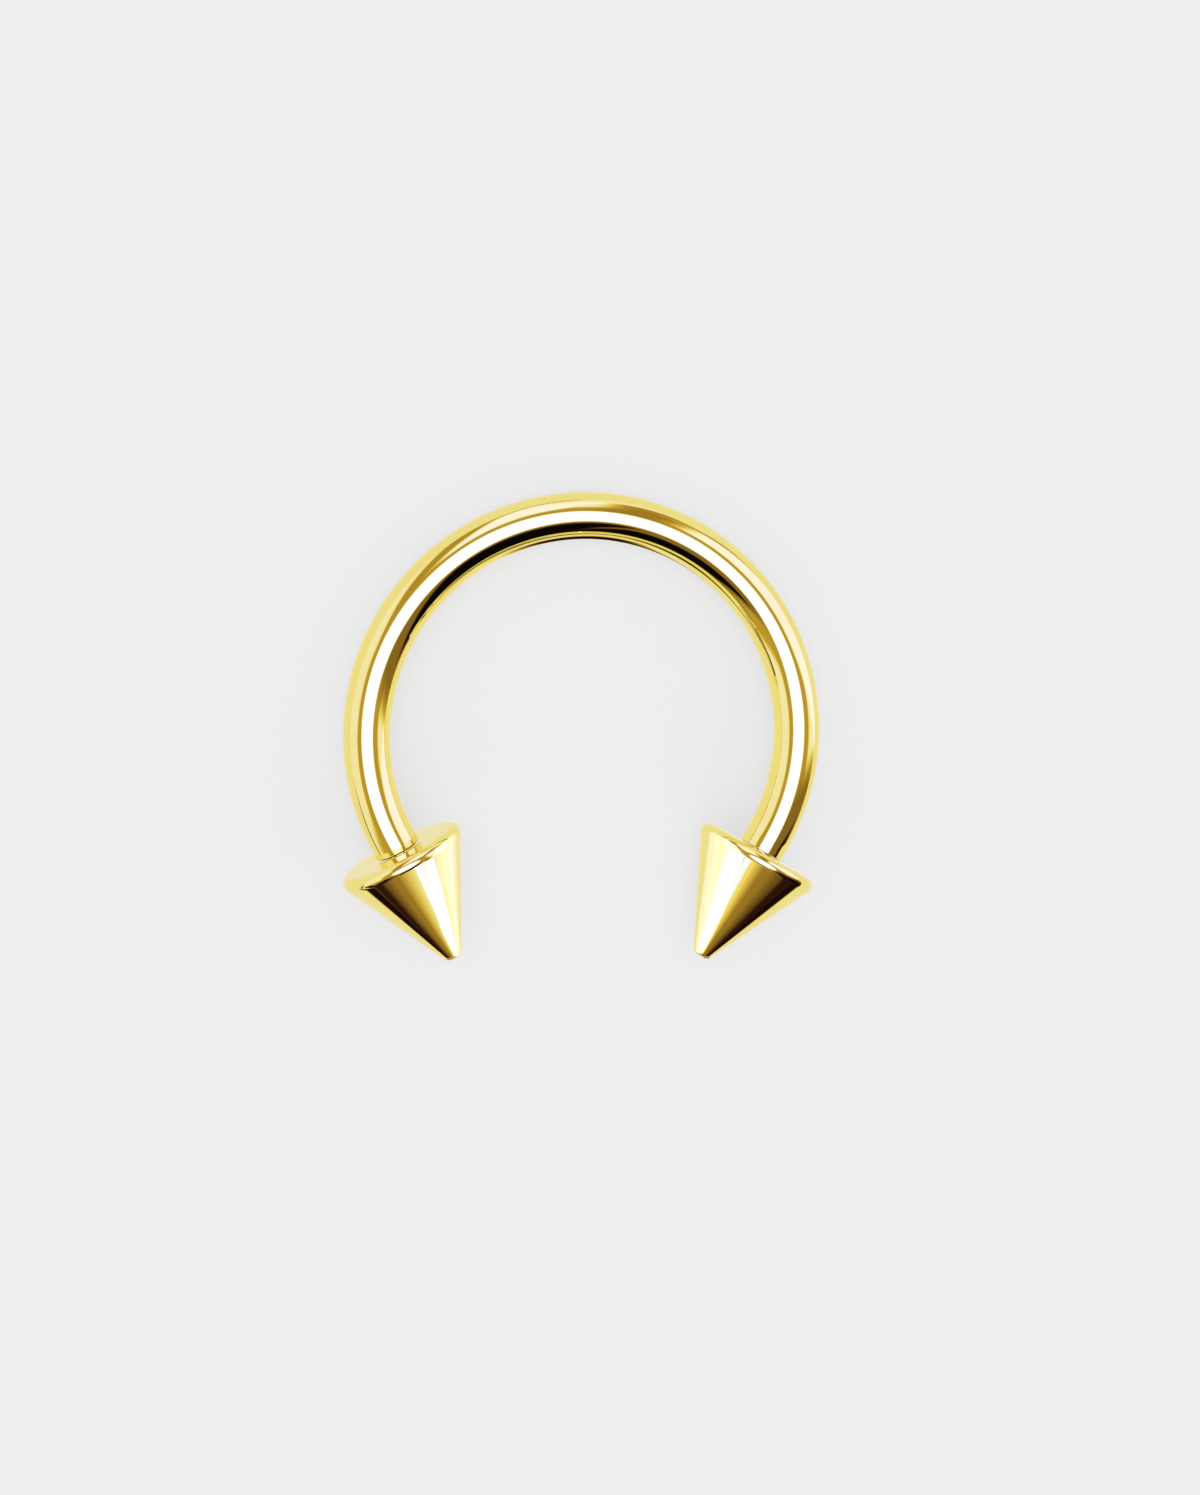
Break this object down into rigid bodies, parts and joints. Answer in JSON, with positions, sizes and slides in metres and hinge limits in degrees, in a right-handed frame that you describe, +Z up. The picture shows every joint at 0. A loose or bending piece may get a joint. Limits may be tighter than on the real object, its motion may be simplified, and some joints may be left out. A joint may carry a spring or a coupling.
{
  "type": "horseshoe barbell",
  "caption": "Open ring of round gold wire for a piercing, with a cone spike screwed on at each end; lies on its side.",
  "frame": {"origin": "on the surface that the barbell lies on, under the middle of its bounding box", "axes": "+X from the left spike to the right one, +Y from the spikes towards the middle of the arc, +Z up from the surface"},
  "size_m": [0.0124, 0.012, 0.0033],
  "materials": {
    "gold": "mirror-polished yellow gold"
  },
  "bodies": {
    "bar": {"bar": "gold"},
    "spike_left": {"spike_left": "gold"},
    "spike_right": {"spike_right": "gold"}
  },
  "joints": [
    {"name": "unscrew_left", "type": "slide", "parent": "bar", "child": "spike_left", "axis": [0.4772, -0.8725, 0.1052], "range_m": [0, 0.002]},
    {"name": "unscrew_right", "type": "slide", "parent": "bar", "child": "spike_right", "axis": [-0.4772, -0.8725, 0.1052], "range_m": [0, 0.002]}
  ]
}
